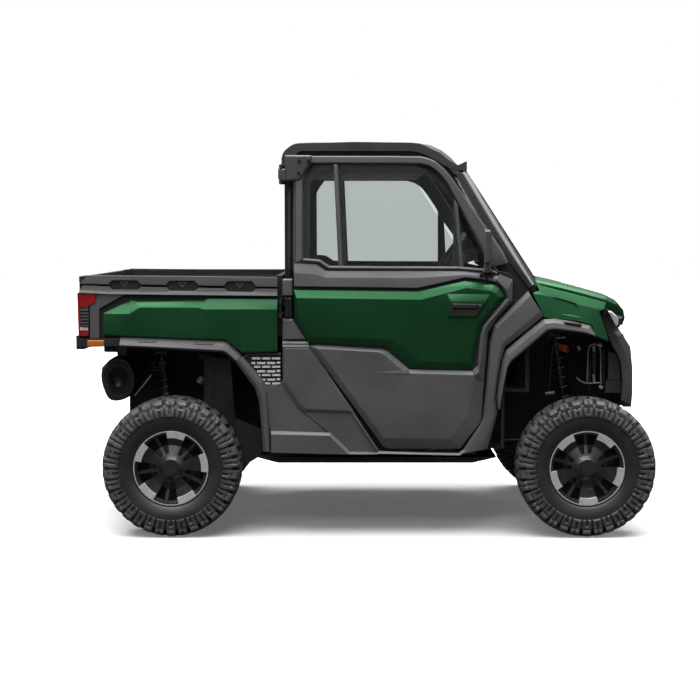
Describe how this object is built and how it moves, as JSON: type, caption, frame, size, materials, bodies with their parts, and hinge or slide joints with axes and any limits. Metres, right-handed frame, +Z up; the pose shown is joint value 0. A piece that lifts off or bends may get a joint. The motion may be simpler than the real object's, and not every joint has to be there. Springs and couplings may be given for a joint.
{
  "type": "utility side by side vehicle",
  "caption": "Cab side-by-side utility vehicle: steered front wheels, rear-hinged glazed doors, lifting bonnet and a tipping cargo bed with drop tailgate.",
  "frame": {"origin": "middle of the overall length and width, on the ground", "axes": "+X forward, +Y to the vehicle's left, +Z up"},
  "size_m": [2.874, 1.884, 1.957],
  "materials": {
    "frame_steel": "satin black coated steel",
    "engine_metal": "cast metal",
    "exhaust_steel": "dark heat-proof finish",
    "damper_metal": "dark coated steel",
    "body_green": "gloss dark green",
    "moulded_grey": "satin grey moulding",
    "black_plastic": "matt black moulding",
    "vent_silver": "silver moulding",
    "cab_glass": "tinted",
    "lamp_clear": "clear lens",
    "lamp_red": "red lens",
    "bench_cover": "black vinyl cover",
    "tyre": "black rubber",
    "rim": "dark alloy with machined edges"
  },
  "bodies": {
    "chassis": {"frame": "frame_steel", "frame_uprights": "frame_steel", "belly_pan": "black_plastic", "engine": "engine_metal", "driveline": "frame_steel", "half_shafts": "frame_steel", "suspension_arms": "frame_steel", "shocks": "damper_metal", "rear_knuckles": "frame_steel", "steering_column": "frame_steel", "roll_cage": "frame_steel", "roof": "black_plastic", "windscreen": "cab_glass", "rear_window": "cab_glass", "cab_tub": "black_plastic", "dashboard": "black_plastic", "bench_cushion": "bench_cover", "bench_back": "bench_cover", "side_panels": "moulded_grey", "cowl_panels": "moulded_grey", "front_fenders": "body_green", "front_flares": "moulded_grey", "rear_flares": "moulded_grey", "side_vents": "vent_silver", "fascia": "black_plastic", "front_bumper": "moulded_grey", "arch_liners": "black_plastic", "headlamps": "lamp_clear", "exhaust": "exhaust_steel", "door_hinges": "frame_steel", "hood_hinges": "frame_steel"},
    "steering": {"steering_wheel": "black_plastic"},
    "tie_rods": {"tie_rods": "frame_steel"},
    "knuckle_right": {"knuckle_right": "frame_steel"},
    "knuckle_left": {"knuckle_left": "frame_steel"},
    "front_wheel_right": {"tyre_front_right": "tyre", "wheel_front_right": "rim"},
    "front_wheel_left": {"tyre_front_left": "tyre", "wheel_front_left": "rim"},
    "rear_wheel_right": {"tyre_rear_right": "tyre", "wheel_rear_right": "rim"},
    "rear_wheel_left": {"tyre_rear_left": "tyre", "wheel_rear_left": "rim"},
    "door_right": {"door_right": "moulded_grey", "door_skin_right": "body_green", "door_glass_right": "cab_glass", "mirror_right": "black_plastic"},
    "door_left": {"door_left": "moulded_grey", "door_skin_left": "body_green", "door_glass_left": "cab_glass", "mirror_left": "black_plastic"},
    "bed": {"bed_tub": "black_plastic", "bed_sides": "body_green", "bed_trim": "moulded_grey", "bed_sill": "black_plastic", "tail_lamps": "lamp_red"},
    "tailgate": {"tailgate": "black_plastic"},
    "hood": {"hood": "body_green"}
  },
  "joints": [
    {"name": "steer_right", "type": "hinge", "parent": "chassis", "child": "knuckle_right", "pos_m": [1.091, -0.65, 0.346], "axis": [0, 0, 1], "range_deg": [-30, 30]},
    {"name": "steer_left", "type": "hinge", "parent": "chassis", "child": "knuckle_left", "pos_m": [1.091, 0.65, 0.346], "axis": [0, 0, 1], "range_deg": [-31, 31]},
    {"name": "steering_turn", "type": "hinge", "parent": "chassis", "child": "steering", "pos_m": [0.451, 0.35, 1.35], "axis": [-0.8192, 0, 0.5736], "range_deg": [-455, 455]},
    {"name": "tie_rod_slide", "type": "slide", "parent": "chassis", "child": "tie_rods", "axis": [0, 1, 0], "range_m": [-0.046, 0.046]},
    {"name": "spin_front_right", "type": "hinge", "parent": "knuckle_right", "child": "front_wheel_right", "pos_m": [1.091, -0.69, 0.346], "axis": [0, 1, 0], "continuous": true},
    {"name": "spin_front_left", "type": "hinge", "parent": "knuckle_left", "child": "front_wheel_left", "pos_m": [1.091, 0.69, 0.346], "axis": [0, 1, 0], "continuous": true},
    {"name": "spin_rear_right", "type": "hinge", "parent": "chassis", "child": "rear_wheel_right", "pos_m": [-0.969, -0.69, 0.346], "axis": [0, 1, 0], "continuous": true},
    {"name": "spin_rear_left", "type": "hinge", "parent": "chassis", "child": "rear_wheel_left", "pos_m": [-0.969, 0.69, 0.346], "axis": [0, 1, 0], "continuous": true},
    {"name": "door_right_open", "type": "hinge", "parent": "chassis", "child": "door_right", "pos_m": [-0.423, -0.777, 1.138], "axis": [0, -0.1119, -0.9937], "range_deg": [0, 75]},
    {"name": "door_left_open", "type": "hinge", "parent": "chassis", "child": "door_left", "pos_m": [-0.423, 0.777, 1.138], "axis": [0, -0.1119, 0.9937], "range_deg": [0, 75]},
    {"name": "bed_tip", "type": "hinge", "parent": "chassis", "child": "bed", "pos_m": [-1.372, 0, 0.94], "axis": [0, -1, 0], "range_deg": [0, 40]},
    {"name": "tailgate_drop", "type": "hinge", "parent": "bed", "child": "tailgate", "pos_m": [-1.43, 0, 1.004], "axis": [0, -1, 0], "range_deg": [0, 90]},
    {"name": "hood_lift", "type": "hinge", "parent": "chassis", "child": "hood", "pos_m": [0.876, 0, 1.27], "axis": [0, -1, 0], "range_deg": [0, 50]}
  ],
  "couplings": [
    {"joint": "steer_left", "follows": "steer_right", "ratio": 1},
    {"joint": "steering_turn", "follows": "steer_right", "ratio": 15},
    {"joint": "tie_rod_slide", "follows": "steer_right", "m_per_rad": -0.0859}
  ]
}
